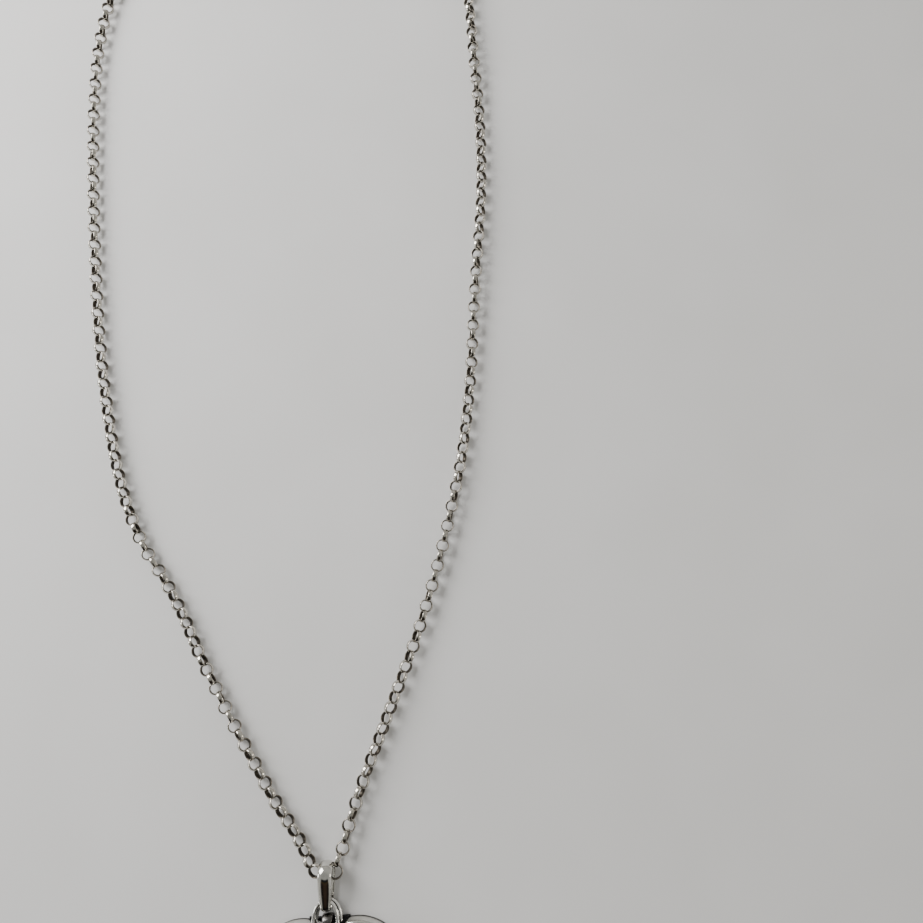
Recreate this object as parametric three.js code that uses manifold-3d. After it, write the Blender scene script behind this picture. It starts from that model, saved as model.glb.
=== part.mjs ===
// Pendant necklace: a fastened belcher chain, a pendant bail, a two-turn split ring, a heart
// pendant and a lobster clasp. Millimetres, +Z up. The necklace lies on its back on the plane
// z = 0, and the origin is on the flat back of the heart.

import * as THREE from 'three';
import { mergeVertices } from 'three/addons/utils/BufferGeometryUtils.js';
import Module from 'manifold-3d';

const wasm = await Module();
wasm.setup();

// ---- driving dimensions ------------------------------------------------------------------

const LINK = { outer: 1.25, inner: 1.03, width: 0.68, pitch: 1.93, segments: 20 };
const LINK_COUNT = { right: 121, left: 130 };   // links past the one in the bail
const LINKS_BY_BAIL = 8;          // separate links on each side of the bail
const LINKS_BY_CLASP = 3;         // separate links at each end of the chain
const CENTRE_ROLL = 80;
const CORD = { sides: 8, step: 6.4, gap: 0.3 };

const BAIL = { x: -1.32, width: 2.35, lowWidth: 1.6, wall: 0.55, edge: 0.25,
  top: { y: 20.43, r: 2.25 }, low: { y: 15.72, r: 1.5 } };

const RING = { x: -1.1, y: 12.75, z: 1.5, halfWidth: 2.15, up: 3.35, down: 0.78, fullness: 0.72, wire: 0.31,
  driftX: -0.45, rise: 0.66, stepAngle: -38, stepTurns: 0.085 };

const HEART = { turn: 4, thickness: 2.4, floor: 1.0, rim: 1.25, edge: 0.45,
  lobe: { x: 4.9, y: 4.5, r: 8.5 }, innerCorner: 1.4, flank: 24,
  lobeFrom: -5, lobeTo: 97, cornerTo: 150, flankFrom: -60 };
const ENAMEL = { gap: 0.1, thickness: 0.5 };
const DOME = { inset: 3.2, gap: 0.1, height: 0.95, edge: 0.9 };
const LOOP = { y: 12.65, spread: 0.6, inner: 0.8, wall: 0.6, width: 1.4, z: 1.5 };
const WEB = { halfWidth: 3.6, from: 9, to: 12.55, thickness: 0.5 };

const CLASP = { x: -17, y: 237, z: 1.9, thickness: 3.2, bevel: 0.45 };
const EYE = { r: 1.25, hole: 0.7, thickness: 0.9 };
const HOOK = { x: 7.0, outerX: 4.6, outerY: 3.1, voidX: 7.2, innerX: 3.15, innerY: 1.85, tip: 1.4 };
const PIVOT = { x: 3.9, y: 1.6, hub: 0.85, slot: 1.05, slotHalf: 0.95, hubHalf: 0.45, hole: 0.38,
  rivet: 0.3, rivetHalf: 1.2, heel: 1.2 };
const GATE = { from: 4.7, to: 8.9, low: 0.9, gap: 0.15 };
const THUMB = { x: -0.85, y: 1.25, r: 0.62, half: 0.42 };
const SPRING = { r: 0.58, wire: 0.12, z: 0.7 };
const JUMP = { r: 1.5, wire: 0.25, z: 1.75 };
const CATCH = { r: 2.0, wire: 0.3, z: 2.3, wireX: 9.45 };

// Route of each half of the chain: points on its centreline, from the link inside the bail
// to the link at the clasp, chosen by hand.
const START = [-1.5, 20.68, 2.16];
const RIGHT_ROUTE = [START, [0.2, 20.66, 2.08], [0.45, 22.45, 1.6], [1.25, 24.3, 1.35], [2.2, 28, 1.27],
  [4.5, 35.2, 1.27], [7.2, 42.5, 1.27], [11, 52.7, 1.27], [14.3, 62, 1.27], [17.5, 73, 1.27],
  [20.3, 84.5, 1.27], [22.5, 96, 1.27], [24, 110, 1.27], [24.6, 122, 1.27], [25.3, 134, 1.27],
  [26.3, 148, 1.27], [26.4, 160, 1.27], [25.9, 171, 1.27], [25, 182, 1.27], [24, 196, 1.27],
  [22.3, 208, 1.27], [18, 219.5, 1.27], [11.5, 228.5, 1.27], [4.5, 234.3, 1.27], [0.2, 236.6, 1.5],
  [-2.95, 237, 2.1]];
const LEFT_ROUTE = [START, [-3.35, 20.88, 2.06], [-4.7, 22.5, 1.6], [-5.7, 24.25, 1.35], [-7.9, 27.5, 1.27],
  [-11.3, 32, 1.27], [-15.3, 38.2, 1.27], [-19.3, 44.5, 1.27], [-23.2, 51.2, 1.27], [-27.1, 58, 1.27],
  [-30.4, 64.4, 1.27], [-34.6, 71.2, 1.27], [-39, 77.3, 1.27], [-42.6, 84.3, 1.27], [-45.4, 91.7, 1.27],
  [-48, 101, 1.27], [-51.3, 116, 1.27], [-54, 133, 1.27], [-56.5, 153, 1.27], [-58.3, 173, 1.27],
  [-58.5, 190, 1.27], [-56, 205, 1.27], [-50.5, 217.5, 1.27], [-42, 227.5, 1.27], [-31.5, 234.5, 1.27],
  [-24, 236.7, 1.3], [-20.7, 237, 1.5]];

// Roll of the links about the chain, in degrees from lying flat, against the distance from the
// bail. Every second link is turned a further quarter turn.
const RIGHT_ROLL = [[0, -4], [5.8, -4], [9.7, 6], [13.6, 16], [17.5, 26], [21.4, 34], [25.3, 41], [33, 48],
  [39, 58], [46.7, 68], [54.5, 78], [58.4, 86], [66, 91], [70, 101], [78, 118], [85.6, 134], [91.4, 144],
  [99, 157], [107, 175], [111, 178], [118.7, 193], [126.5, 206], [134, 219], [142, 228], [152, 240],
  [159.5, 256], [163.4, 268], [167.3, 282], [175, 299], [183, 317], [229, 360]];
const LEFT_ROLL = [[0, -78], [11, -55], [19, -50], [27, -44], [31, -32], [35, -19], [38.6, -12], [42.5, 0],
  [46, 13], [50, 23], [54, 33], [58, 43], [60, 50], [64, 60], [67.5, 67], [71, 79], [75, 92], [79, 104],
  [83, 110], [246, 180]];

// ---- materials ---------------------------------------------------------------------------

const SILVER = new THREE.MeshStandardMaterial({ color: 0xb4b3aa, roughness: 0.22, metalness: 1 });
const CHAIN_SILVER = new THREE.MeshStandardMaterial({ color: 0xa9a79e, roughness: 0.3, metalness: 1 });
const BLACKENED = new THREE.MeshStandardMaterial({ color: 0x17171a, roughness: 0.45, metalness: 0.2 });
const SPRING_STEEL = new THREE.MeshStandardMaterial({ color: 0x8f9092, roughness: 0.35, metalness: 1 });

// ---- helpers -----------------------------------------------------------------------------

const necklace = new THREE.Group();
const degrees = THREE.MathUtils.degToRad;

function addMesh(name, geometry, material, parent = necklace) {
  const mesh = new THREE.Mesh(geometry, material);
  mesh.name = name;
  parent.add(mesh);
  return mesh;
}

function toSolid(geometry) {
  const bare = geometry.clone();
  bare.deleteAttribute('normal');
  bare.deleteAttribute('uv');
  const merged = mergeVertices(bare, 1e-5);
  return new wasm.Manifold(new wasm.Mesh({
    numProp: 3,
    vertProperties: new Float32Array(merged.attributes.position.array),
    triVerts: new Uint32Array(merged.index.array),
  }));
}

function toGeometry(solid) {
  const mesh = solid.getMesh();
  const geometry = new THREE.BufferGeometry();
  geometry.setAttribute('position', new THREE.BufferAttribute(mesh.vertProperties, 3));
  geometry.setIndex(new THREE.BufferAttribute(mesh.triVerts, 1));
  geometry.computeVertexNormals();
  return geometry;
}

function drum(radius, half, x, y, sides = 24) {
  const geometry = new THREE.CylinderGeometry(radius, radius, 2 * half, sides);
  geometry.rotateX(Math.PI / 2);
  geometry.translate(x, y, 0);
  return geometry;
}

function torus(radius, wire, sides = 8, segments = 28) {
  return new THREE.TorusGeometry(radius, wire, sides, segments);
}

// Outline of two equal circles in a line and their common tangents.
function slotOutline(shape, from, to, radius) {
  shape.absarc(from, 0, radius, Math.PI / 2, 1.5 * Math.PI, false);
  shape.absarc(to, 0, radius, -Math.PI / 2, Math.PI / 2, false);
  return shape;
}

// ---- chain -------------------------------------------------------------------------------

// Centres of the links, evenly spaced along the route from its first point to its last.
function linkCentres(route, count) {
  const points = route.map((p) => new THREE.Vector3(...p));
  const curve = new THREE.CatmullRomCurve3(points, false, 'catmullrom', 0.5);
  curve.arcLengthDivisions = 100 * route.length;
  return curve.getSpacedPoints(count);
}

function rollAt(table, distance) {
  const next = table.findIndex(([s]) => s > distance);
  if (next < 0) return table[table.length - 1][1];
  const [s0, r0] = table[next - 1];
  const [s1, r1] = table[next];
  return r0 + (r1 - r0) * (distance - s0) / (s1 - s0);
}

// A ring of lens-shaped section: thick in the middle of its width, thin at its two edges.
function linkGeometry() {
  const middle = (LINK.outer + LINK.inner) / 2;
  const half = (LINK.outer - LINK.inner) / 2;
  const profile = [];
  for (let i = 0; i <= 8; i += 1) {
    const angle = 2 * Math.PI * i / 8;
    profile.push(new THREE.Vector2(middle + half * Math.cos(angle), LINK.width / 2 * Math.sin(angle)));
  }
  return new THREE.LatheGeometry(profile, LINK.segments);
}

// Places a link by its centre, its neighbours' centres and its roll about the chain.
function placeLink(mesh, before, centre, after, roll) {
  const along = after.clone().sub(before).normalize();
  const up = new THREE.Vector3(0, 0, 1).addScaledVector(along, -along.z).normalize();
  const side = along.clone().cross(up);
  const turned = degrees(roll);
  const normal = up.multiplyScalar(Math.cos(turned)).addScaledVector(side, -Math.sin(turned));
  const basis = new THREE.Matrix4().makeBasis(along, normal, along.clone().cross(normal));
  mesh.quaternion.setFromRotationMatrix(basis);
  mesh.position.copy(centre);
}

function addLink(name, centres, index, roll) {
  const last = centres.length - 1;
  const before = centres[Math.max(index - 1, 0)];
  const after = centres[Math.min(index + 1, last)];
  placeLink(addMesh(name, linkGeometry(), CHAIN_SILVER), before, centres[index], after, roll);
}

// Links counted from the bail are turned alternately; the first one beside it lies flattest.
function linkRoll(table, index, flatParity) {
  const quarter = index % 2 === flatParity ? 0 : 90;
  return rollAt(table, index * LINK.pitch) + quarter;
}

function addCord(name, centres) {
  const stretch = centres.slice(LINKS_BY_BAIL, centres.length - LINKS_BY_CLASP + 1);
  const curve = new THREE.CatmullRomCurve3(stretch, false, 'catmullrom', 0.5);
  const length = curve.getLength();
  const trim = (LINK.outer + CORD.gap) / length;
  const section = new THREE.Shape();
  section.absarc(0, 0, LINK.outer - 0.01, 0, 2 * Math.PI, false);
  const steps = Math.round(length / CORD.step);
  const path = new THREE.CatmullRomCurve3(
    curve.getSpacedPoints(steps).map((p, i) => trimEnd(curve, p, i, steps, trim)));
  const tube = new THREE.ExtrudeGeometry(section,
    { steps, curveSegments: CORD.sides / 2, extrudePath: path });
  addMesh(name, tube, CHAIN_SILVER);
}

function trimEnd(curve, point, index, steps, share) {
  if (index === 0) return curve.getPointAt(share);
  if (index === steps) return curve.getPointAt(1 - share);
  return point;
}

function addStrand(side, route, table, flatParity) {
  const centres = linkCentres(route, LINK_COUNT[side]);
  const last = centres.length - 1;
  for (let i = 1; i <= LINKS_BY_BAIL; i += 1) {
    addLink(`link_${side}_${i}`, centres, i, linkRoll(table, i, flatParity));
  }
  for (let i = LINKS_BY_CLASP - 1; i >= 0; i -= 1) {
    const roll = i % 2 === 0 ? 0 : 90;
    addLink(`link_${side}_end_${i + 1}`, centres, last - i, roll);
  }
  addCord(`chain_${side}`, centres);
  return centres;
}

const rightCentres = addStrand('right', RIGHT_ROUTE, RIGHT_ROLL, 1);
const leftCentres = addStrand('left', LEFT_ROUTE, LEFT_ROLL, 0);
placeLink(addMesh('link_centre', linkGeometry(), CHAIN_SILVER),
  leftCentres[1], rightCentres[0], rightCentres[1], CENTRE_ROLL);

// ---- bail --------------------------------------------------------------------------------

// A flattened teardrop loop standing in the YZ plane, narrower at its lower end.
function addBail() {
  const from = { x: BAIL.low.y, r: BAIL.low.r };
  const to = { x: BAIL.top.y, r: BAIL.top.r };
  const lean = Math.asin((to.r - from.r) / Math.hypot(to.x - from.x, to.r - from.r));
  const outline = new THREE.Shape();
  const hole = new THREE.Path();
  teardrop(outline, from, to, lean, -BAIL.edge);
  teardrop(hole, from, to, lean, -BAIL.wall + BAIL.edge * 0.4);
  outline.holes.push(hole);
  const band = new THREE.ExtrudeGeometry(outline, { depth: BAIL.width - 2 * BAIL.edge, curveSegments: 7,
    bevelEnabled: true, bevelThickness: BAIL.edge, bevelSize: BAIL.edge, bevelSegments: 2 });
  band.translate(0, 0, BAIL.edge - BAIL.width / 2);
  const place = new THREE.Matrix4().makeBasis(
    new THREE.Vector3(0, 1, 0), new THREE.Vector3(0, 0, 1), new THREE.Vector3(1, 0, 0));
  band.applyMatrix4(place);
  const position = band.attributes.position;
  for (let i = 0; i < position.count; i += 1) {
    const share = Math.sqrt(THREE.MathUtils.clamp((position.getY(i) - from.x) / (to.x - from.x), 0, 1));
    const width = THREE.MathUtils.lerp(BAIL.lowWidth, BAIL.width, share) / BAIL.width;
    position.setX(i, position.getX(i) * width + BAIL.x);
  }
  addMesh('bail', band, SILVER);
}

// Two circles resting on one line, with their common tangents; u runs along, v is the height.
function teardrop(shape, from, to, lean, grow) {
  const tilt = 2 * lean;
  shape.absarc(from.x, from.r, from.r + grow, Math.PI / 2 + tilt, 1.5 * Math.PI, false);
  shape.absarc(to.x, to.r, to.r + grow, -Math.PI / 2, Math.PI / 2 + tilt, false);
}

addBail();

// ---- split ring --------------------------------------------------------------------------

// Two flat coils, one on the other, joined by a short step; each end of the wire stops beside it.
// Each coil is half an ellipse towards the bail and a fuller, flatter curve towards the heart.
class CoilCurve extends THREE.Curve {
  getPoint(t, target = new THREE.Vector3()) {
    const turn = THREE.MathUtils.lerp(RING.stepTurns, 2 - RING.stepTurns, t);
    const angle = degrees(RING.stepAngle) + 2 * Math.PI * turn;
    const level = THREE.MathUtils.smoothstep(turn, 1 - RING.stepTurns, 1 + RING.stepTurns) - 0.5;
    const [reach, power] = Math.sin(angle) < 0 ? [RING.down, RING.fullness] : [RING.up, 1];
    return target.set(
      RING.x + RING.halfWidth * swell(Math.cos(angle), power) + RING.driftX * level,
      RING.y + reach * swell(Math.sin(angle), power),
      RING.z + RING.rise * level);
  }
}

function swell(value, power) {
  return Math.sign(value) * Math.abs(value) ** power;
}

function addSplitRing() {
  const section = new THREE.Shape();
  section.absarc(0, 0, RING.wire, 0, 2 * Math.PI, false);
  addMesh('split_ring', new THREE.ExtrudeGeometry(section,
    { steps: 56, curveSegments: 4, extrudePath: new CoilCurve() }), SILVER);
}

addSplitRing();

// ---- heart pendant -----------------------------------------------------------------------

// The heart is a closed run of tangent arcs, so an inset only changes their radii.
function heartShape(inset) {
  const { lobe, innerCorner, flank } = HEART;
  const from = degrees(HEART.lobeFrom);
  const to = degrees(HEART.lobeTo);
  const cornerTo = degrees(HEART.cornerTo);
  const flankFrom = degrees(HEART.flankFrom);
  const flankX = lobe.x - (flank - lobe.r) * Math.cos(from);
  const flankY = lobe.y - (flank - lobe.r) * Math.sin(from);
  const tipReach = -flankX / Math.cos(flankFrom);
  const tipY = flankY + tipReach * Math.sin(flankFrom);
  const tip = flank - tipReach;
  const cornerX = lobe.x + (lobe.r - innerCorner) * Math.cos(to);
  const cornerY = lobe.y + (lobe.r - innerCorner) * Math.sin(to);
  const cleft = -cornerX / Math.cos(cornerTo) - innerCorner;
  const cleftY = cornerY + (innerCorner + cleft) * Math.sin(cornerTo);
  const shape = new THREE.Shape();
  const mirrored = (angle) => Math.PI - angle;
  shape.absarc(0, tipY, tip - inset, -Math.PI / 2, flankFrom, false);
  shape.absarc(flankX, flankY, flank - inset, flankFrom, from, false);
  shape.absarc(lobe.x, lobe.y, lobe.r - inset, from, to, false);
  shape.absarc(cornerX, cornerY, innerCorner - inset, to, cornerTo, false);
  shape.absarc(0, cleftY, cleft + inset, cornerTo - Math.PI, -cornerTo, true);
  shape.absarc(-cornerX, cornerY, innerCorner - inset, mirrored(cornerTo), mirrored(to), false);
  shape.absarc(-lobe.x, lobe.y, lobe.r - inset, mirrored(to), mirrored(from), false);
  shape.absarc(-flankX, flankY, flank - inset, mirrored(from), mirrored(flankFrom), false);
  shape.absarc(0, tipY, tip - inset, mirrored(flankFrom) - 2 * Math.PI, -Math.PI / 2, false);
  return shape;
}

// A loop on the heart's axis whose hole runs along X, soldered to the bottom of the cleft.
function loopGeometry() {
  const low = LOOP.y - LOOP.spread;
  const outline = slotOutline(new THREE.Shape(), low, LOOP.y, LOOP.inner + LOOP.wall);
  outline.holes.push(slotOutline(new THREE.Path(), low, LOOP.y, LOOP.inner));
  const band = new THREE.ExtrudeGeometry(outline,
    { depth: LOOP.width, bevelEnabled: false, curveSegments: 7 });
  band.translate(0, LOOP.z, -LOOP.width / 2);
  band.applyMatrix4(new THREE.Matrix4().makeBasis(
    new THREE.Vector3(0, 1, 0), new THREE.Vector3(0, 0, 1), new THREE.Vector3(1, 0, 0)));
  return band;
}

// A thin web across the bottom of the cleft, under the loop and the split ring.
function webGeometry() {
  const web = new THREE.BoxGeometry(2 * WEB.halfWidth, WEB.to - WEB.from, WEB.thickness);
  return web.translate(0, (WEB.from + WEB.to) / 2, WEB.thickness / 2);
}

function addHeart() {
  const heart = new THREE.Group();
  heart.rotation.z = degrees(HEART.turn);
  necklace.add(heart);
  const blank = new THREE.ExtrudeGeometry(heartShape(HEART.edge), { depth: HEART.thickness - 2 * HEART.edge,
    curveSegments: 5, bevelEnabled: true, bevelThickness: HEART.edge, bevelSize: HEART.edge,
    bevelSegments: 2 });
  blank.translate(0, 0, HEART.edge);
  const recess = new THREE.ExtrudeGeometry(heartShape(HEART.rim),
    { depth: HEART.thickness, bevelEnabled: false, curveSegments: 5 });
  recess.translate(0, 0, HEART.floor);
  const frame = toSolid(blank).subtract(toSolid(recess)).add(toSolid(webGeometry()))
    .add(toSolid(loopGeometry()));
  addMesh('heart_frame', toGeometry(frame), SILVER, heart);

  const enamel = new THREE.ExtrudeGeometry(heartShape(HEART.rim + ENAMEL.gap),
    { depth: ENAMEL.thickness, bevelEnabled: false, curveSegments: 4 });
  enamel.translate(0, 0, HEART.floor + ENAMEL.gap);
  addMesh('heart_ground', enamel, BLACKENED, heart);

  const dome = domeGeometry();
  dome.translate(0, 0, HEART.floor + ENAMEL.gap + ENAMEL.thickness + DOME.gap);
  addMesh('heart_dome', dome, SILVER, heart);
}

// A smaller heart, taken as the lobes' and flanks' outline scaled about the middle.
function domeGeometry() {
  const outline = heartShape(0);
  const scale = (HEART.lobe.r + HEART.lobe.x - DOME.inset - DOME.edge) / (HEART.lobe.r + HEART.lobe.x);
  const points = outline.getPoints(4).slice(0, -1).map((p) => p.multiplyScalar(scale));
  return new THREE.ExtrudeGeometry(new THREE.Shape(points), { depth: 0.05, bevelEnabled: true,
    bevelThickness: DOME.height / 2, bevelSize: DOME.edge, bevelSegments: 3 })
    .translate(0, 0, DOME.height / 2);
}

addHeart();

// ---- clasp -------------------------------------------------------------------------------

const clasp = new THREE.Group();
clasp.position.set(CLASP.x, CLASP.y, CLASP.z);
necklace.add(clasp);

function ellipseShape(x, radiusX, radiusY) {
  const shape = new THREE.Shape();
  shape.absellipse(x, 0, radiusX, radiusY, 0, 2 * Math.PI, false, 0);
  return shape;
}

function plate(shape, half, segments = 12) {
  return new THREE.ExtrudeGeometry(shape, { depth: 2 * half, bevelEnabled: false,
    curveSegments: segments }).translate(0, 0, -half);
}

// Side view of the clasp: thin at its eye and its tip, thick over the pivot.
function sideEnvelope() {
  const half = CLASP.thickness / 2;
  const tipX = HOOK.x + HOOK.outerX;
  const upper = [[-EYE.r - 0.2, EYE.thickness / 2], [1.1, EYE.thickness / 2], [2.4, half * 0.88], [4.2, half],
    [6.4, half * 0.93], [9, half * 0.66], [tipX + 0.2, HOOK.tip / 2]];
  const spline = new THREE.SplineCurve(upper.map(([x, z]) => new THREE.Vector2(x, z))).getPoints(18);
  const lower = spline.map((p) => new THREE.Vector2(p.x, -p.y)).reverse();
  const slab = plate(new THREE.Shape([...spline, ...lower].reverse()), HOOK.outerY + 1.6);
  return slab.rotateX(Math.PI / 2);
}

function claspBlank() {
  const oval = new THREE.ExtrudeGeometry(
    ellipseShape(HOOK.x, HOOK.outerX - CLASP.bevel, HOOK.outerY - CLASP.bevel),
    { depth: CLASP.thickness - 2 * CLASP.bevel, curveSegments: 20, bevelEnabled: true,
      bevelThickness: CLASP.bevel, bevelSize: CLASP.bevel, bevelSegments: 2 });
  oval.translate(0, 0, CLASP.bevel - CLASP.thickness / 2);
  const neck = new THREE.BoxGeometry(3.4, 1.5, CLASP.thickness);
  neck.translate(2.2, 0, 0);
  const eye = drum(EYE.r, CLASP.thickness / 2, 0, 0);
  return toSolid(oval).add(toSolid(neck)).add(toSolid(eye))
    .intersect(toSolid(sideEnvelope()))
    .subtract(toSolid(drum(EYE.hole, CLASP.thickness, 0, 0)))
    .subtract(toSolid(plate(ellipseShape(HOOK.voidX, HOOK.innerX, HOOK.innerY), CLASP.thickness, 18)));
}

// The stretch of the upper arm that the gate closes, less a gap at each side.
function gateBlock(gap) {
  const block = new THREE.BoxGeometry(GATE.to - GATE.from - 2 * gap, HOOK.outerY, 2 * CLASP.thickness);
  return toSolid(block.translate((GATE.from + GATE.to) / 2, GATE.low + gap + HOOK.outerY / 2, 0));
}

function pivotDrum(radius, half) {
  return toSolid(drum(radius, half, PIVOT.x, PIVOT.y));
}

// The gate's arm, a thin web to its hub in the body's slot, and a thumb knob behind the pivot.
function leverSolid(blank, pivotHole) {
  const arm = blank.intersect(gateBlock(GATE.gap)).subtract(pivotDrum(PIVOT.heel, CLASP.thickness));
  const web = new THREE.BoxGeometry(1.5, 0.9, 2 * PIVOT.hubHalf);
  web.translate(PIVOT.x + 0.75, PIVOT.y + 0.15, 0);
  const bridge = new THREE.BoxGeometry(1.2, 0.9, 2 * THUMB.half);
  bridge.translate(PIVOT.x - 0.4, PIVOT.y + 0.85, 0);
  const thumb = drum(THUMB.r, THUMB.half, PIVOT.x + THUMB.x, PIVOT.y + THUMB.y, 16);
  return arm.add(toSolid(web)).add(pivotDrum(PIVOT.hub, PIVOT.hubHalf))
    .add(toSolid(bridge)).add(toSolid(thumb)).subtract(pivotHole);
}

function addClasp() {
  const blank = claspBlank();
  const pivotHole = toSolid(drum(PIVOT.hole, CLASP.thickness, PIVOT.x, PIVOT.y, 16));
  const slot = pivotDrum(PIVOT.slot, PIVOT.slotHalf);
  const body = blank.subtract(gateBlock(0)).subtract(slot).subtract(pivotHole);
  addMesh('clasp_body', toGeometry(body), SILVER, clasp);
  addMesh('clasp_lever', toGeometry(leverSolid(blank, pivotHole)), SILVER, clasp);
  const rivet = drum(PIVOT.rivet, PIVOT.rivetHalf, PIVOT.x, PIVOT.y, 16);
  addMesh('clasp_rivet', rivet, SPRING_STEEL, clasp);
  const spring = torus(SPRING.r, SPRING.wire, 6, 16).translate(PIVOT.x, PIVOT.y, SPRING.z);
  addMesh('clasp_spring', spring, SPRING_STEEL, clasp);
}

function addStandingRing(name, ring, x) {
  const geometry = torus(ring.r, ring.wire).rotateX(Math.PI / 2);
  addMesh(name, geometry, SILVER).position.set(CLASP.x + x, CLASP.y, ring.z);
}

addClasp();
addStandingRing('jump_ring', JUMP, -JUMP.r);
addStandingRing('catch_ring', CATCH, CATCH.wireX + CATCH.r);

export default necklace;
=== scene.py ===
import math
import random

import bpy
import numpy as np
from mathutils import Euler, Matrix, Vector


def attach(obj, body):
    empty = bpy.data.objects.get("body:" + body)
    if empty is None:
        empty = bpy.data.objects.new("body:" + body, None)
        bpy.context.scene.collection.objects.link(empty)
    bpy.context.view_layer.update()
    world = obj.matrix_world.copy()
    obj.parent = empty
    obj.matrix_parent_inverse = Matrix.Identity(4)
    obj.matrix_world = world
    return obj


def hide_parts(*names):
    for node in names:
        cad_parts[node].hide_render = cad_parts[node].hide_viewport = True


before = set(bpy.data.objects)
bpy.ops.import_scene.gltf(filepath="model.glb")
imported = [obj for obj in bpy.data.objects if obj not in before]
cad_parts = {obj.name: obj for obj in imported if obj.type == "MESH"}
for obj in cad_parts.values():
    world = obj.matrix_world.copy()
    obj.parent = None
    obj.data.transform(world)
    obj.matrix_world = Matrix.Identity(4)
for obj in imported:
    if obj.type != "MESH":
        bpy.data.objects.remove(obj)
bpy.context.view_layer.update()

MM = 0.001                     # metres in a millimetre
random.seed(7)

# ---- driving dimensions, in millimetres and degrees ---------------------------------------

LINK_OUTER = 1.27
LINK_INNER = 0.97
LINK_WIDTH = 0.84
LINK_PITCH = 1.93
LINK_COUNT = {"right": 121, "left": 130}
CENTRE_ROLL = 80
ROLL_SPREAD = 4                # how far a free link's roll strays, either way
LINKS_BY_BAIL = 8
LINKS_BY_CLASP = 3

BAIL_X = -1.32
BAIL_WALL = 0.55
BAIL_SKIRT = -0.1              # the section's lower edge, from its inner line
BAIL_LIP = 0.06                # how far the inner edges hang past the skirt
BAIL_WIDTH = 2.5
BAIL_LOW_WIDTH = 2.0
BAIL_TOP = (20.43, 2.25)
BAIL_LOW = (15.72, 1.5)

RING_CENTRE = (-1.1, 12.75, 1.5)
RING_HALF_WIDTH = 2.15
RING_UP = 3.35
RING_DOWN = 0.78
RING_FULLNESS = 0.72
RING_WIRE = 0.32
RING_DRIFT = -0.45
RING_RISE = 0.66
RING_STEP_ANGLE = -38
RING_STEP_TURNS = 0.085
RING_MIDDLE_RISE = 0.6         # the point that the wire's outward side faces away from

HEART_TURN = 4
HEART_LOBE = (4.9, 4.5, 8.5)
HEART_CORNER = 1.4
HEART_FLANK = 24
HEART_ANGLES = {"lobe_from": -5, "lobe_to": 97, "corner_to": 150, "flank_from": -60}
# The rim's section, as (inset from the outline, height), from the back round to the recess.
RIM_SECTION = [(1.3, 0.0), (0.5, 0.0), (0.2, 0.08), (0.05, 0.26), (0.0, 0.5), (0.0, 1.2), (0.02, 1.6),
               (0.09, 1.93), (0.22, 2.17), (0.4, 2.33), (0.6, 2.4), (0.8, 2.38), (0.97, 2.3),
               (1.09, 2.17), (1.15, 2.0), (1.17, 1.8), (1.18, 1.2), (1.2, 1.02), (1.3, 1.0)]
RIM_BACK_FADE = (0.08, 0.3)    # heights between which the bright back turns to painted shade
RIM_TOP_FADE = (0.5, 1.6)      # and that dark (painted contact shadow outside, antiquing on the recess wall) to the bright top
GROUND_SECTION = [(1.3, 1.03), (1.21, 1.05), (1.2, 1.3), (1.22, 1.66), (1.28, 1.6), (1.33, 1.58)]
DOME = {"share": 0.745, "middle": (0.0, 1.0), "foot": 1.62, "spring": 1.7, "rise": 0.95, "crown": 0.02}
# The web is coloured black and reaches up the cleft as painted shade under the ring and loop.
WEB = {"half": 3.6, "from": 9.0, "to": 13.1, "thickness": 0.5, "ease": 0.12, "lift": 0.01}
LOOP_Y = 12.65
LOOP_SPREAD = 0.6
LOOP_INNER = 0.8
LOOP_WALL = 0.6
LOOP_Z = 1.5
LOOP_HALF = 0.68               # half the strap's width low down
LOOP_FLARE = 0.27              # and what it gains over the top

CLASP_AT = (-17, 237)
JUMP = {"r": 1.5, "wire": 0.25, "z": 1.75, "x": -1.5}
CATCH = {"r": 2.0, "wire": 0.3, "z": 2.3, "x": 11.45}
RIVET = {"half": 1.2, "x": 3.9, "y": 1.6, "z": 1.9}
SLIT = 0.05                    # the saw cut in a closed jump ring

# The chain's route: points on its centreline from the link in the bail to the clasp.
START = (-1.5, 20.68, 2.16)
RIGHT_ROUTE = [START, (0.2, 20.66, 2.08), (0.45, 22.45, 1.6), (1.25, 24.3, 1.35), (2.2, 28, 1.27),
               (4.5, 35.2, 1.27), (7.2, 42.5, 1.27), (11, 52.7, 1.27), (14.3, 62, 1.27),
               (17.5, 73, 1.27), (20.3, 84.5, 1.27), (22.5, 96, 1.27), (24, 110, 1.27),
               (24.6, 122, 1.27), (25.3, 134, 1.27), (26.3, 148, 1.27), (26.4, 160, 1.27),
               (25.9, 171, 1.27), (25, 182, 1.27), (24, 196, 1.27), (22.3, 208, 1.27),
               (18, 219.5, 1.27), (11.5, 228.5, 1.27), (4.5, 234.3, 1.27), (0.2, 236.6, 1.5),
               (-2.95, 237, 2.1)]
LEFT_ROUTE = [START, (-3.35, 20.88, 2.06), (-4.7, 22.5, 1.6), (-5.7, 24.25, 1.35), (-7.9, 27.5, 1.27),
              (-11.3, 32, 1.27), (-15.3, 38.2, 1.27), (-19.3, 44.5, 1.27), (-23.2, 51.2, 1.27),
              (-27.1, 58, 1.27), (-30.4, 64.4, 1.27), (-34.6, 71.2, 1.27), (-39, 77.3, 1.27),
              (-42.6, 84.3, 1.27), (-45.4, 91.7, 1.27), (-48, 101, 1.27), (-51.3, 116, 1.27),
              (-54, 133, 1.27), (-56.5, 153, 1.27), (-58.3, 173, 1.27), (-58.5, 190, 1.27),
              (-56, 205, 1.27), (-50.5, 217.5, 1.27), (-42, 227.5, 1.27), (-31.5, 234.5, 1.27),
              (-24, 236.7, 1.3), (-20.7, 237, 1.5)]

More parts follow.
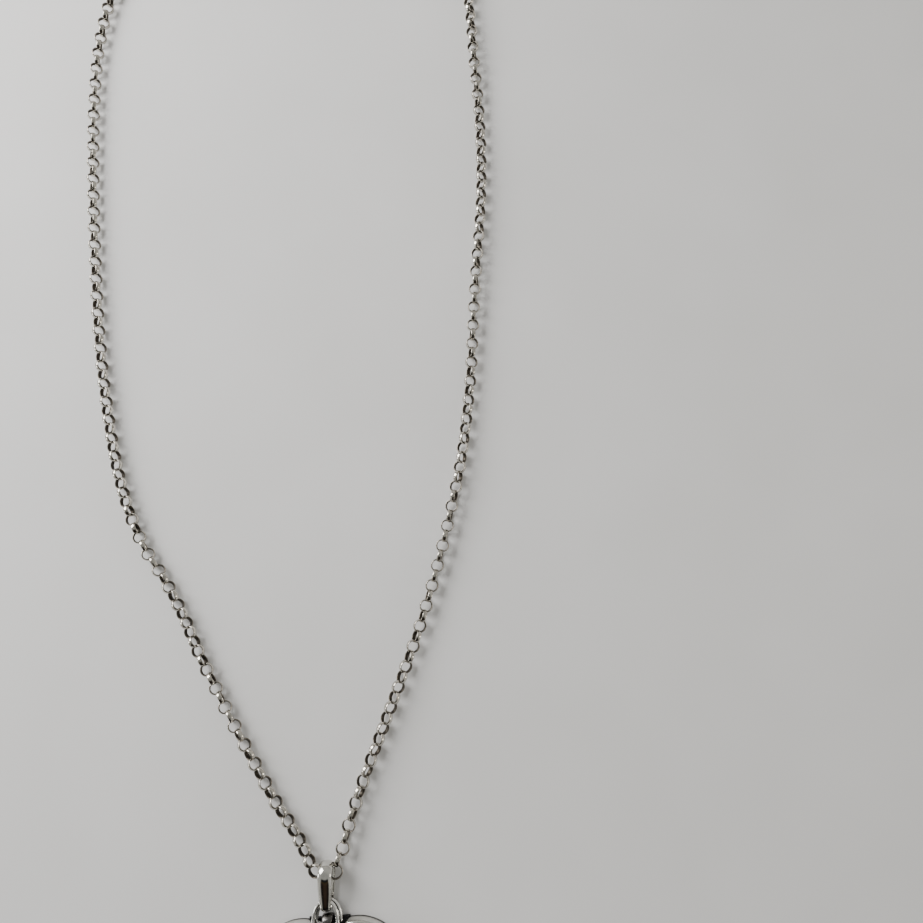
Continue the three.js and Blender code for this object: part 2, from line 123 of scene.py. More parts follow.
# Roll of the links about the chain, in degrees from lying flat, against the distance from the
# bail. Every second link is turned a further quarter turn.
RIGHT_ROLL = [(0, -4), (5.8, -4), (9.7, 6), (13.6, 16), (17.5, 26), (21.4, 34), (25.3, 41), (33, 48),
              (39, 58), (46.7, 68), (54.5, 78), (58.4, 86), (66, 91), (70, 101), (78, 118),
              (85.6, 134), (91.4, 144), (99, 157), (107, 175), (111, 178), (118.7, 193), (126.5, 206),
              (134, 219), (142, 228), (152, 240), (159.5, 256), (163.4, 268), (167.3, 282), (175, 299),
              (183, 317), (229, 360)]
LEFT_ROLL = [(0, -78), (11, -55), (19, -50), (27, -44), (31, -32), (35, -19), (38.6, -12), (42.5, 0),
             (46, 13), (50, 23), (54, 33), (58, 43), (60, 50), (64, 60), (67.5, 67), (71, 79),
             (75, 92), (79, 104), (83, 110), (246, 180)]

DENT_DEPTH = 0.00003           # metres
PEBBLE_DEPTH = 0.00008         # metres
ROOM_LIGHT = 0.5               # strength of the room's gradient
FLOOR_HALF = 1.5               # metres
FLOOR_DROP = 0.00003           # metres, so that the floor never meets the heart's flat back


# ---- camera -------------------------------------------------------------------------------

def add_camera():
    data = bpy.data.cameras.new("camera")
    data.sensor_width = 36
    data.lens = 26.91
    data.clip_start = 0.005
    camera = bpy.data.objects.new("camera", data)
    camera.location = (27.96 * MM, 70.01 * MM, 132.65 * MM)
    camera.rotation_euler = Euler((math.radians(10.24), math.radians(2.47), 0))
    bpy.context.scene.collection.objects.link(camera)
    bpy.context.scene.camera = camera


# ---- mesh helpers -------------------------------------------------------------------------

def add_piece(name, points, faces, material, body, replaces=(), glow=None):
    """A smooth mesh from points in millimetres, riding on a body. glow is each point's painted light:
    1 where the metal keeps its own bright colour, 0 where painted shade darkens it (antiquing too, on the
    heart's recess wall)."""
    mesh = bpy.data.meshes.new(name)
    mesh.from_pydata((np.asarray(points, dtype=float) * MM).tolist(), [], faces)
    mesh.polygons.foreach_set("use_smooth", [True] * len(mesh.polygons))
    if glow is not None:
        # This per-point value paints light and shade into the colour: 1 keeps the metal bright, 0 paints it
        # dark.
        light_and_tarnish = mesh.attributes.new("light_and_tarnish", "FLOAT", "POINT")
        light_and_tarnish.data.foreach_set("value", np.asarray(glow, dtype=float))
    mesh.update()
    mesh.materials.append(material)
    piece = bpy.data.objects.new(name, mesh)
    bpy.context.scene.collection.objects.link(piece)
    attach(piece, body)
    if replaces:
        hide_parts(*replaces)
    return piece


def smoothstep(value, low, high):
    share = min(max((value - low) / (high - low), 0), 1)
    return share * share * (3 - 2 * share)


def swell(value, power):
    """The value raised to a power below 1, which fills out a round section's corners."""
    return math.copysign(abs(value) ** power, value)


def band_faces(rows, columns, closed_rows=True):
    """Quads over a grid of points numbered row by row, each row closed on itself."""
    faces = []
    for i in range(rows if closed_rows else rows - 1):
        low = i * columns
        high = (i + 1) % rows * columns
        for j in range(columns):
            k = (j + 1) % columns
            faces.append((low + j, low + k, high + k, high + j))
    return faces


def sweep(path, normals, section, closed=True):
    """Carries a section along a path. section(i) gives (across, outward) pairs; across is
    measured along the cross product of the path's direction and its outward normal."""
    path = np.asarray(path, dtype=float)
    normals = np.asarray(normals, dtype=float)
    count = len(path)
    points = []
    for i in range(count):
        before = path[i - 1] if closed or i else path[i]
        after = path[(i + 1) % count] if closed or i < count - 1 else path[i]
        along = (after - before) / np.linalg.norm(after - before)
        out = normals[i] - along * normals[i].dot(along)
        out /= np.linalg.norm(out)
        across = np.cross(along, out)
        for a, o in section(i):
            points.append(path[i] + across * a + out * o)
    columns = len(section(0))
    faces = band_faces(count, columns, closed_rows=closed)
    if not closed:
        faces.append(tuple(reversed(range(columns))))
        faces.append(tuple(range((count - 1) * columns, count * columns)))
    return np.array(points), [tuple(reversed(face)) for face in faces]


def wire_section(radius, count, i, sides=18):
    """A round section that draws in over the first and last two stations, so an end is eased."""
    from_end = min(i, count - 1 - i)
    shrink = {0: 0.72, 1: 0.94}.get(from_end, 1.0)
    turns = [2 * math.pi * k / sides for k in range(sides)]
    return [(radius * shrink * math.cos(t), radius * shrink * math.sin(t)) for t in turns]


# ---- materials ----------------------------------------------------------------------------

def new_material(name):
    material = bpy.data.materials.new(name)
    material.use_nodes = True
    nodes = material.node_tree.nodes
    return material, nodes, material.node_tree.links, nodes["Principled BSDF"]


def noise(nodes, links, scale, detail=3.0, rough=0.55):
    place = nodes.new("ShaderNodeTexCoord")
    texture = nodes.new("ShaderNodeTexNoise")
    texture.inputs["Scale"].default_value = scale
    texture.inputs["Detail"].default_value = detail
    texture.inputs["Roughness"].default_value = rough
    links.new(place.outputs["Object"], texture.inputs["Vector"])
    return texture.outputs["Fac"]


def ramp(nodes, links, value, stops):
    node = nodes.new("ShaderNodeValToRGB")
    links.new(value, node.inputs["Fac"])
    while len(node.color_ramp.elements) < len(stops):
        node.color_ramp.elements.new(0.5)
    for element, (place, colour) in zip(node.color_ramp.elements, stops):
        element.position = place
        element.color = (*colour, 1) if len(colour) == 3 else colour
    return node.outputs["Color"]


def grey(value):
    return (value, value, value)


def add_dents(nodes, links, shader, height, strength, depth):
    dents = nodes.new("ShaderNodeBump")
    dents.inputs["Strength"].default_value = strength
    dents.inputs["Distance"].default_value = depth
    links.new(height, dents.inputs["Height"])
    links.new(dents.outputs["Normal"], shader.inputs["Normal"])


def polished_metal(name, colour, rough=(0.06, 0.2)):
    """Polished silver-tone metal: faint cloudy tarnish, fine wear in the gloss and the surface."""
    material, nodes, links, shader = new_material(name)
    shader.inputs["Metallic"].default_value = 1
    cloud = noise(nodes, links, 900, 4)
    dull = tuple(c * 0.8 for c in colour)
    links.new(ramp(nodes, links, cloud, [(0.3, dull), (0.7, colour)]), shader.inputs["Base Color"])
    wear = noise(nodes, links, 2600, 5, 0.7)
    links.new(ramp(nodes, links, wear, [(0.35, grey(rough[0])), (0.75, grey(rough[1]))]),
              shader.inputs["Roughness"])
    add_dents(nodes, links, shader, noise(nodes, links, 5200, 3), 0.06, DENT_DEPTH)
    return material


def painted_shade_metal(name, stops, patches=(0.62, 1.0)):
    """Metal with painted light and shade: its own bright colour where the per-point value is high, painted
    dark where it is low.
    """
    material, nodes, links, shader = new_material(name)
    shader.inputs["Metallic"].default_value = 1
    light_and_tarnish = nodes.new("ShaderNodeAttribute")
    light_and_tarnish.attribute_name = "light_and_tarnish"
    # Painted shade: the per-point value is ramped straight into the base colour, near black at 0.
    tone = ramp(nodes, links, light_and_tarnish.outputs["Fac"], stops)
    cloud = ramp(nodes, links, noise(nodes, links, 1400, 4),
                 [(0.3, grey(patches[0])), (0.65, grey(patches[1]))])
    mix = nodes.new("ShaderNodeMix")
    mix.data_type = "RGBA"
    mix.blend_type = "MULTIPLY"
    mix.inputs["Factor"].default_value = 1
    links.new(tone, mix.inputs["A"])
    links.new(cloud, mix.inputs["B"])
    links.new(mix.outputs["Result"], shader.inputs["Base Color"])
    gloss = ramp(nodes, links, light_and_tarnish.outputs["Fac"], [(0.2, grey(0.4)), (0.8, grey(0.14))])
    links.new(gloss, shader.inputs["Roughness"])
    add_dents(nodes, links, shader, noise(nodes, links, 4200, 3), 0.12, DENT_DEPTH)
    return material


def blackened_ground():
    """Antiqued black for the recess, and painted shade for the web across the cleft: satin, with a pebbled
    surface and a little worn grey.
    """
    material, nodes, links, shader = new_material("blackened")
    pebble = noise(nodes, links, 2100, 4)
    links.new(ramp(nodes, links, pebble, [(0.35, (0.006, 0.006, 0.008)), (0.8, (0.035, 0.034, 0.034))]),
              shader.inputs["Base Color"])
    shader.inputs["Metallic"].default_value = 0.35
    links.new(ramp(nodes, links, pebble, [(0.3, grey(0.32)), (0.8, grey(0.6))]), shader.inputs["Roughness"])
    add_dents(nodes, links, shader, pebble, 0.5, PEBBLE_DEPTH)
    return material


def floor_material():
    material, nodes, links, shader = new_material("floor")
    soft = noise(nodes, links, 30, 2)
    links.new(ramp(nodes, links, soft, [(0.3, (0.78, 0.775, 0.775)), (0.7, (0.82, 0.815, 0.82))]),
              shader.inputs["Base Color"])
    shader.inputs["Roughness"].default_value = 0.85
    return material


# ---- chain --------------------------------------------------------------------------------

def spline(route, per_span=100):
    """A uniform Catmull-Rom curve through the route's points, with straight run-outs at its ends."""
    p = [np.array(q, dtype=float) for q in route]
    p = [2 * p[0] - p[1]] + p + [2 * p[-1] - p[-2]]
    points = []
    for a, b, c, d in zip(p, p[1:], p[2:], p[3:]):
        for t in np.arange(per_span) / per_span:
            points.append(0.5 * (2 * b + (c - a) * t + (2 * a - 5 * b + 4 * c - d) * t ** 2
                                 + (3 * b - a - 3 * c + d) * t ** 3))
    points.append(p[-2])
    return np.array(points)


def link_centres(route, count):
    fine = spline(route)
    run = np.concatenate([[0], np.cumsum(np.linalg.norm(np.diff(fine, axis=0), axis=1))])
    wanted = np.linspace(0, run[-1], count + 1)
    return np.stack([np.interp(wanted, run, fine[:, k]) for k in range(3)], axis=1)


def roll_at(table, distance):
    return float(np.interp(distance, [s for s, _ in table], [r for _, r in table]))


def link_template(around=40, sides=14):
    """A round link about its own Y axis: domed outside, gently rounded inside."""
    middle = (LINK_OUTER + LINK_INNER) / 2
    half = (LINK_OUTER - LINK_INNER) / 2
    points = []
    light_and_tarnish = []
    for i in range(around):
        turn = 2 * math.pi * i / around
        for j in range(sides):
            t = 2 * math.pi * j / sides
            r = middle + half * swell(math.cos(t), 0.9)
            y = LINK_WIDTH / 2 * swell(math.sin(t), 0.8)
            points.append((r * math.cos(turn), y, r * math.sin(turn)))
            # Painted shade: the link's inner face is coloured dark and its outer face bright.
            light_and_tarnish.append(0.5 + 0.5 * math.cos(t))
    return np.array(points), np.array(light_and_tarnish), band_faces(around, sides)


TEMPLATE, TEMPLATE_PAINTED_SHADE, TEMPLATE_FACES = link_template()


def link_points(before, centre, after, roll):
    along = (after - before) / np.linalg.norm(after - before)
    up = np.array([0, 0, 1.0]) - along * along[2]
    up /= np.linalg.norm(up)
    side = np.cross(along, up)
    turned = math.radians(roll)
    normal = up * math.cos(turned) - side * math.sin(turned)
    third = np.cross(along, normal)
    return centre + TEMPLATE[:, :1] * along + TEMPLATE[:, 1:2] * normal + TEMPLATE[:, 2:] * third


def strand_links(route, table, count, flat_parity):
    """The points of every link of one strand, from the one beside the bail to the clasp's."""
    centres = link_centres(route, count)
    last = len(centres) - 1
    links = []
    for i in range(1, last + 1):
        quarter = 0 if i % 2 == flat_parity else 90
        roll = roll_at(table, i * LINK_PITCH) + quarter
        from_end = last - i
        if from_end < LINKS_BY_CLASP:
            roll = 0 if from_end % 2 == 0 else 90
        elif i > LINKS_BY_BAIL:
            roll += random.uniform(-ROLL_SPREAD, ROLL_SPREAD)
        links.append(link_points(centres[i - 1], centres[i], centres[min(i + 1, last)], roll))
    return centres, links


def add_cord(side, centres, links, material):
    """The free stretch of one strand: every one of its links, in one mesh."""
    first = LINKS_BY_BAIL
    last = len(links) - LINKS_BY_CLASP
    chosen = links[first:last]
    count = len(TEMPLATE)
    points = np.concatenate(chosen)
    faces = [tuple(v + k * count for v in f) for k in range(len(chosen)) for f in TEMPLATE_FACES]
    piece = add_piece(f"chain_{side}_links", points, faces, material, "chain",
                      [f"chain_{side}"], np.tile(TEMPLATE_PAINTED_SHADE, len(chosen)))
    path = centres[first + 1:last + 1] * MM
    ends = (path[0] - (path[1] - path[0]) / 2, path[-1] + (path[-1] - path[-2]) / 2)
    path = np.concatenate([[ends[0]], path, [ends[1]]])


def add_chain(material):
    strands = {}
    for side, route, table, parity in (("right", RIGHT_ROUTE, RIGHT_ROLL, 1),
                                       ("left", LEFT_ROUTE, LEFT_ROLL, 0)):
        centres, links = strand_links(route, table, LINK_COUNT[side], parity)
        strands[side] = centres
        add_cord(side, centres, links, material)
        for i in range(LINKS_BY_BAIL):
            add_link(f"link_{side}_{i + 1}", links[i], material)
        for i in range(LINKS_BY_CLASP):
            add_link(f"link_{side}_end_{i + 1}", links[-1 - i], material)
    right = strands["right"]
    centre = link_points(strands["left"][1], right[0], right[1], CENTRE_ROLL)
    add_link("link_centre", centre, material)


def add_link(node, points, material):
    add_piece(f"{node}_ring", points, TEMPLATE_FACES, material, "chain", [node],
              TEMPLATE_PAINTED_SHADE)


# ---- bail ---------------------------------------------------------------------------------

def bail_path():
    """The bail's inner line in the YZ plane, with its outward directions."""
    (top_y, top_r), (low_y, low_r) = BAIL_TOP, BAIL_LOW
    lean = math.asin((top_r - low_r) / math.hypot(top_y - low_y, top_r - low_r))
    upper = math.pi / 2 + 2 * lean
    path = []
    normals = []

    def arc(y, r, start, end, steps):
        for k in range(steps + 1):
            angle = start + (end - start) * k / steps
            out = (0, math.cos(angle), math.sin(angle))
            path.append((BAIL_X, y + (r - BAIL_WALL) * out[1], r + (r - BAIL_WALL) * out[2]))
            normals.append(out)

    def straight(steps, first, last):
        for k in range(1, steps):
            share = k / steps
            path.append(tuple(np.array(first) * (1 - share) + np.array(last) * share))
            normals.append(normals[-1])

    arc(low_y, low_r, upper, 1.5 * math.pi, 24)
    low_end = path[-1]
    straight(14, low_end, (BAIL_X, top_y, BAIL_WALL))
    arc(top_y, top_r, -math.pi / 2, upper, 34)
    straight(14, path[-1], path[0])
    return path, normals


def bail_width(y):
    share = min(max((y - BAIL_LOW[0]) / (BAIL_TOP[0] - BAIL_LOW[0]), 0), 1)
    return BAIL_LOW_WIDTH + (BAIL_WIDTH - BAIL_LOW_WIDTH) * smoothstep(math.sqrt(share), 0, 1)


def add_bail(material):
    path, normals = bail_path()

    def section(i):
        half = bail_width(path[i][1]) / 2
        dome = [(half * math.cos(t), BAIL_SKIRT + (BAIL_WALL - BAIL_SKIRT) * math.sin(t))
                for t in np.linspace(0, math.pi, 25)]
        lip = BAIL_SKIRT - BAIL_LIP
        inner = [(-half + 0.04, lip), (-half + 0.16, lip), (-half * 0.6, 0.0), (0, 0.02),
                 (half * 0.6, 0.0), (half - 0.16, lip), (half - 0.04, lip)]
        return dome + inner

    points, faces = sweep(path, normals, section)
    add_piece("bail_loop", points, faces, material, "bail", ["bail"])


# ---- split ring and plain rings ------------------------------------------------------------

def coil_point(turn):
    """A point of the split ring's wire, a two-turn coil whose turns step over at one place."""
    angle = math.radians(RING_STEP_ANGLE) + 2 * math.pi * turn
    level = smoothstep(turn, 1 - RING_STEP_TURNS, 1 + RING_STEP_TURNS) - 0.5
    reach, power = (RING_DOWN, RING_FULLNESS) if math.sin(angle) < 0 else (RING_UP, 1)
    return (RING_CENTRE[0] + RING_HALF_WIDTH * swell(math.cos(angle), power) + RING_DRIFT * level,
            RING_CENTRE[1] + reach * swell(math.sin(angle), power), RING_CENTRE[2] + RING_RISE * level)


def evenly(points, count):
    points = np.asarray(points, dtype=float)
    run = np.concatenate([[0], np.cumsum(np.linalg.norm(np.diff(points, axis=0), axis=1))])
    wanted = np.linspace(0, run[-1], count)
    return np.stack([np.interp(wanted, run, points[:, k]) for k in range(3)], axis=1)


def add_split_ring(material, stations=190):
    turns = np.linspace(RING_STEP_TURNS, 2 - RING_STEP_TURNS, 3000)
    path = evenly([coil_point(t) for t in turns], stations)
    middle = np.array([RING_CENTRE[0], RING_CENTRE[1] + RING_MIDDLE_RISE, 0])
    normals = [(p[0] - middle[0], p[1] - middle[1], 0) for p in path]
    points, faces = sweep(path, normals, lambda i: wire_section(RING_WIRE, stations, i), False)
    middles = np.repeat(np.asarray(path)[:, 2], len(points) // stations)
    # Painted light: the top of the wire is coloured as a bright highlight, its underside dark as painted
    # shade.
    glow = [smoothstep(rise, -0.6, 0.75) for rise in (points[:, 2] - middles) / RING_WIRE]
    add_piece("split_ring_coil", points, faces, material, "ring", ["split_ring"],
              glow)


def add_standing_ring(node, size, body, material, slit_angle, stations=72):
    """A plain jump ring standing on its edge, with the thin saw cut where it was closed."""
    path = []
    normals = []
    slit = SLIT / size["r"]
    for k in range(stations):
        angle = math.radians(slit_angle) + slit / 2 + (2 * math.pi - slit) * k / (stations - 1)
        out = (math.cos(angle), 0, math.sin(angle))
        path.append((CLASP_AT[0] + size["x"] + size["r"] * out[0], CLASP_AT[1],
                     size["z"] + size["r"] * out[2]))
        normals.append(out)
    points, faces = sweep(path, normals, lambda i: wire_section(size["wire"], stations, i), False)
    add_piece(f"{node}_wire", points, faces, material, body, [node])


# ---- heart pendant ------------------------------------------------------------------------

def heart_arcs(inset):
    """The right half of the heart's outline, from its tip to its cleft, as tangent arcs."""
    lobe_x, lobe_y, lobe_r = HEART_LOBE
    start, to, corner_to, flank_from = (math.radians(HEART_ANGLES[k])
                                        for k in ("lobe_from", "lobe_to", "corner_to", "flank_from"))
    flank_x = lobe_x - (HEART_FLANK - lobe_r) * math.cos(start)
    flank_y = lobe_y - (HEART_FLANK - lobe_r) * math.sin(start)
    reach = -flank_x / math.cos(flank_from)
    tip = (0, flank_y + reach * math.sin(flank_from), HEART_FLANK - reach)
    corner = (lobe_x + (lobe_r - HEART_CORNER) * math.cos(to),
              lobe_y + (lobe_r - HEART_CORNER) * math.sin(to))
    cleft_r = -corner[0] / math.cos(corner_to) - HEART_CORNER
    cleft_y = corner[1] + (HEART_CORNER + cleft_r) * math.sin(corner_to)
    return [(tip[0], tip[1], tip[2] - inset, -math.pi / 2, flank_from, 12),
            (flank_x, flank_y, HEART_FLANK - inset, flank_from, start, 26),
            (lobe_x, lobe_y, lobe_r - inset, start, to, 44),
            (corner[0], corner[1], HEART_CORNER - inset, to, corner_to, 10),
            (0, cleft_y, cleft_r + inset, corner_to - math.pi, -math.pi / 2, 12)]


def heart_loop(inset):
    right = []
    for x, y, r, start, end, steps in heart_arcs(inset):
        for k in range(steps):
            angle = start + (end - start) * k / steps
            right.append((x + r * math.cos(angle), y + r * math.sin(angle)))
    x, y, r, _, end, _ = heart_arcs(inset)[-1]
    bottom = (x, y + r * math.sin(end))
    left = [(-px, py) for px, py in reversed(right[1:])]
    return right + [bottom] + left


def in_row(points):
    """Turns points of the heart's own frame into the row frame."""
    turn = math.radians(HEART_TURN)
    spin = np.array([[math.cos(turn), -math.sin(turn), 0], [math.sin(turn), math.cos(turn), 0], [0, 0, 1]])
    return np.asarray(points, dtype=float) @ spin.T


def loft(rings):
    """A closed solid through rings of equal count, each counter-clockwise seen from above."""
    count = len(rings[0])
    faces = list(band_faces(len(rings), count, closed_rows=False))
    faces.append(tuple(reversed(range(count))))
    faces.append(tuple(range((len(rings) - 1) * count, len(rings) * count)))
    return np.concatenate(rings), faces


def heart_ring(inset, z):
    return [(x, y, z) for x, y in heart_loop(inset)]


def add_heart_frame(material):
    points, faces = loft([heart_ring(inset, z) for inset, z in RIM_SECTION])
    unshaded_back = [1 - smoothstep(z, *RIM_BACK_FADE) for _, z in RIM_SECTION]
    unshaded_top = [smoothstep(z, *RIM_TOP_FADE) for _, z in RIM_SECTION]
    # Painted shade: the rim's lower outer side is coloured near black as a contact shadow; the same low
    # values darken the recess wall as antiquing.
    glow = np.repeat(np.maximum(unshaded_back, unshaded_top), len(heart_loop(0)))
    add_piece("heart_rim", in_row(points), faces, material, "pendant",
              ["heart_frame"], glow)


def add_web(material):
    """The thin web across the bottom of the cleft, coloured black as painted shade under the ring and loop.
    """
    middle = (WEB["from"] + WEB["to"]) / 2
    reach = (WEB["to"] - WEB["from"]) / 2
    rings = []
    for inset, z in ((WEB["ease"], WEB["lift"]), (0, WEB["ease"]), (0, WEB["thickness"] - WEB["ease"]),
                     (WEB["ease"], WEB["thickness"])):
        half, deep = WEB["half"] - inset, reach - inset
        rings.append([(-half, middle - deep, z), (half, middle - deep, z), (half, middle + deep, z),
                      (0, middle + deep - WEB["ease"], z), (-half, middle + deep, z)])
    points, faces = loft(rings)
    piece = add_piece("heart_web", in_row(points), faces, material, "pendant",
                      ["heart_frame"])
    piece.data.polygons.foreach_set("use_smooth", [False] * len(piece.data.polygons))


def add_heart_loop(material, steps=22):
    """The pendant's own loop: an upright oval of rounded strap that widens over the top."""
    path = []
    normals = []
    for centre, start in ((LOOP_Y - LOOP_SPREAD, math.pi / 2), (LOOP_Y, -math.pi / 2)):
        for k in range(steps + 1):
            angle = start + math.pi * k / steps
            out = (0, math.cos(angle), math.sin(angle))
            path.append((0, centre + (LOOP_INNER + LOOP_WALL / 2) * out[1],
                         LOOP_Z + (LOOP_INNER + LOOP_WALL / 2) * out[2]))
            normals.append(out)

    def section(i):
        half = LOOP_HALF + LOOP_FLARE * smoothstep(path[i][1], LOOP_Y - 0.2, LOOP_Y + 1.0)
        return [(half * swell(math.cos(t), 0.7), LOOP_WALL / 2 * swell(math.sin(t), 0.75))
                for t in np.linspace(0, 2 * math.pi, 20, endpoint=False)]

    points, faces = sweep(path, normals, section)
    add_piece("heart_loop", in_row(points), faces, material, "pendant",
              ["heart_frame"])


def add_heart_ground(material):
    points, faces = loft([heart_ring(inset, z) for inset, z in GROUND_SECTION])
    add_piece("heart_floor", in_row(points), faces, material, "pendant", ["heart_ground"])


def add_heart_dome(material, rings=16):
    """A smaller heart swelling out of the recess: the outline drawn in towards its middle."""
    outline = np.array(heart_loop(0.0)) * DOME["share"]
    middle = np.array(DOME["middle"])
    loops = [[(x, y, DOME["foot"]) for x, y in outline]]
    for k in range(1, rings):
        angle = math.pi / 2 * k / rings
        spread = math.cos(angle) ** 0.9
        drawn = middle + (outline - middle) * (DOME["crown"] + (1 - DOME["crown"]) * spread)
        loops.append([(x, y, DOME["spring"] + DOME["rise"] * math.sin(angle)) for x, y in drawn])
    points, faces = loft(loops)
    add_piece("heart_centre", in_row(points), faces, material, "pendant", ["heart_dome"])


# ---- clasp --------------------------------------------------------------------------------

def add_smoothed(node, name, body, material, voxel=0.075, passes=7):
    """A cast-looking copy of a CAD solid: remeshed finely and smoothed, so its edges are eased."""
    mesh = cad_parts[node].data.copy()
    mesh.transform(Matrix.Scale(1 / MM, 4))
    worker = bpy.data.objects.new(f"{name}_worker", mesh)
    bpy.context.scene.collection.objects.link(worker)
    remesh = worker.modifiers.new("remesh", "REMESH")
    remesh.mode = "VOXEL"
    remesh.voxel_size = voxel
    smooth = worker.modifiers.new("smooth", "SMOOTH")
    smooth.factor = 0.5
    smooth.iterations = passes
    bpy.context.view_layer.update()
    ready = worker.evaluated_get(bpy.context.evaluated_depsgraph_get())
    source = ready.to_mesh()
    points = np.array([v.co[:] for v in source.vertices])
    faces = [tuple(p.vertices) for p in source.polygons]
    ready.to_mesh_clear()
    bpy.data.objects.remove(worker)
    bpy.data.meshes.remove(mesh)
    add_piece(name, points, faces, material, body, [node])


def add_rivet(material):
    """The clasp's rivet, its ends hammered into low domes."""
    head = [(0.3, 0.8), (0.29, 0.84), (0.22, 0.93), (0.12, 0.99)]
    profile = [(r, -share) for r, share in reversed(head)] + head
    sides = 24
    points = []
    for r, share in profile:
        for k in range(sides):
            t = 2 * math.pi * k / sides
            points.append((CLASP_AT[0] + RIVET["x"] + r * math.cos(t),
                           CLASP_AT[1] + RIVET["y"] + r * math.sin(t),
                           RIVET["z"] + RIVET["half"] * share))
    rows = len(profile)
    faces = band_faces(rows, sides, closed_rows=False)
    faces.append(tuple(reversed(range(sides))))
    faces.append(tuple(range((rows - 1) * sides, rows * sides)))
    add_piece("clasp_rivet_pin", points, faces, material, "clasp", ["clasp_rivet"])


def dress_node(node, material):
    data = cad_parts[node].data
    data.materials.clear()
    data.materials.append(material)


# ---- stage --------------------------------------------------------------------------------

def add_floor(material):
    mesh = bpy.data.meshes.new("floor")
    corners = [(x * FLOOR_HALF, y * FLOOR_HALF, 0) for x, y in ((-1, -1), (1, -1), (1, 1), (-1, 1))]
    mesh.from_pydata(corners, [], [(0, 1, 2, 3)])
    floor = bpy.data.objects.new("floor", mesh)
    floor.location = (0, 0.1, -FLOOR_DROP)
    mesh.materials.append(material)
    bpy.context.scene.collection.objects.link(floor)


def add_light(name, place, aim, size, power, colour=(1, 1, 1)):
    data = bpy.data.lights.new(name, "AREA")
    data.shape = "RECTANGLE"
    data.size = size[0]
    data.size_y = size[1]
    data.energy = power
    data.color = colour
    light = bpy.data.objects.new(name, data)
    light.location = place
    light.rotation_euler = (Vector(aim) - Vector(place)).to_track_quat("-Z", "Y").to_euler()
    bpy.context.scene.collection.objects.link(light)


def share_between(nodes, links, value, low, high):
    """0 at low, 1 at high, and held past both."""
    node = nodes.new("ShaderNodeMapRange")
    node.inputs["From Min"].default_value = low
    node.inputs["From Max"].default_value = high
    links.new(value, node.inputs["Value"])
    return node.outputs["Result"]


def combined(nodes, links, operation, *values):
    node = nodes.new("ShaderNodeMath")
    node.operation = operation
    for value, socket in zip(values, node.inputs):
        links.new(value, socket)
    return node.outputs["Value"]


def add_room():
    """A pale room under a pale ceiling, with a dark brown patch in front, as of a person. The
    patch is what the bail's front face mirrors."""
    world = bpy.data.worlds.new("studio")
    world.use_nodes = True
    nodes = world.node_tree.nodes
    links = world.node_tree.links
    place = nodes.new("ShaderNodeTexCoord")
    split = nodes.new("ShaderNodeSeparateXYZ")
    links.new(place.outputs["Generated"], split.inputs["Vector"])
    room = ramp(nodes, links, split.outputs["Z"],
                [(0.0, (0.55, 0.53, 0.5)), (0.2, (1.2, 1.17, 1.08)), (0.45, (1.1, 1.08, 1.02)),
                 (0.7, (1.0, 1.0, 0.94)), (0.9, (0.75, 0.75, 0.71))])
    person = ramp(nodes, links, split.outputs["Z"],
                  [(0.0, (0.008, 0.008, 0.01)), (0.4, (0.01, 0.009, 0.009)), (0.5, (0.045, 0.032, 0.026)),
                   (0.57, (0.12, 0.08, 0.055)), (0.65, (0.09, 0.066, 0.022)), (0.74, (0.03, 0.03, 0.034)),
                   (0.88, (0.045, 0.045, 0.05)), (0.94, (0.75, 0.75, 0.71))])
    sideways = combined(nodes, links, "ABSOLUTE", split.outputs["X"])
    aside = share_between(nodes, links, sideways, 0.45, 0.62)
    behind = share_between(nodes, links, split.outputs["Y"], -0.42, -0.2)
    mix = nodes.new("ShaderNodeMix")
    mix.data_type = "RGBA"
    links.new(combined(nodes, links, "MAXIMUM", aside, behind), mix.inputs["Factor"])
    links.new(person, mix.inputs["A"])
    links.new(room, mix.inputs["B"])
    links.new(mix.outputs["Result"], nodes["Background"].inputs["Color"])
    nodes["Background"].inputs["Strength"].default_value = ROOM_LIGHT
    bpy.context.scene.world = world


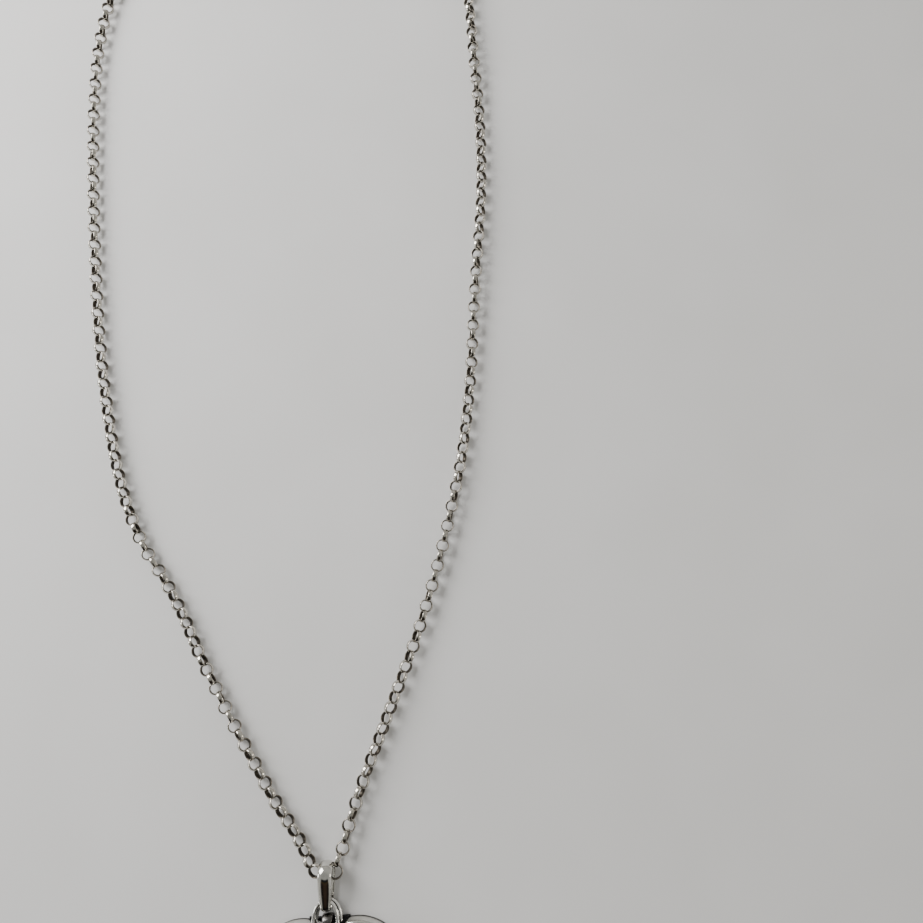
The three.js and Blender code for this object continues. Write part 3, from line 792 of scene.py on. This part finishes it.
def add_lights():
    middle = (0.0, 0.1, 0.0)
    add_light("window_left", (-0.3, 0.29, 0.22), middle, (0.28, 0.26), 2.65, (1.0, 0.99, 0.97))
    add_light("lamp_right", (0.42, 0.02, 0.12), middle, (0.12, 0.12), 0.22, (1.0, 0.93, 0.8))
    add_light("lamp_left", (-0.42, 0.0, 0.1), middle, (0.12, 0.12), 0.25)
    add_room()


# ---- the necklace -------------------------------------------------------------------------

add_camera()
# The chain's dark stops are painted shade on the links' inner faces; the bright stops are their outsides.
chain_silver = painted_shade_metal("chain_silver", [(0.0, (0.05, 0.043, 0.035)), (0.35, (0.2, 0.178, 0.15)),
                                            (0.7, (0.52, 0.485, 0.43)), (1.0, (0.7, 0.67, 0.61))])
# The rim's near-black stops paint a contact shadow along its lower outer side, and antiquing on its recess
# wall.
rim_silver = painted_shade_metal("rim_silver", [(0.0, (0.02, 0.019, 0.018)), (0.25, (0.04, 0.038, 0.034)),
                                        (0.6, (0.62, 0.61, 0.57)), (1.0, (0.74, 0.73, 0.69))], (0.85, 1.0))
silver = polished_metal("polished_silver", (0.72, 0.71, 0.67))
# The near-white stops are a painted highlight on the wire's top; the dark stops are painted shade beneath
# it.
wire_silver = painted_shade_metal("wire_silver", [(0.0, (0.03, 0.028, 0.025)), (0.3, (0.12, 0.11, 0.1)),
                                          (0.7, (0.9, 0.88, 0.82)), (1.0, (0.98, 0.97, 0.94))],
                          (0.9, 1.0))
# A dark copy of the silver: painted shade on the pendant's loop, which sits in the shaded cleft under the
# bail and ring.
loop_shade_silver = polished_metal("shaded_loop_silver", (0.13, 0.125, 0.12), (0.16, 0.34))
blackened = blackened_ground()
steel = polished_metal("spring_steel", (0.5, 0.5, 0.49), (0.2, 0.4))

add_chain(chain_silver)
add_bail(silver)
add_split_ring(wire_silver)
add_heart_frame(rim_silver)
add_heart_loop(loop_shade_silver)
# Painted shade: the web's black stands for the shadow in the cleft; the heart's floor below is the real
# antiqued black.
add_web(blackened)
add_heart_ground(blackened)
add_heart_dome(silver)
add_smoothed("clasp_body", "clasp_hook", "clasp", silver)
add_smoothed("clasp_lever", "clasp_gate", "lever", silver)
add_rivet(steel)
dress_node("clasp_spring", steel)
add_standing_ring("jump_ring", JUMP, "chain", silver, 75)
add_standing_ring("catch_ring", CATCH, "catch_ring", silver, 60)
add_floor(floor_material())
add_lights()
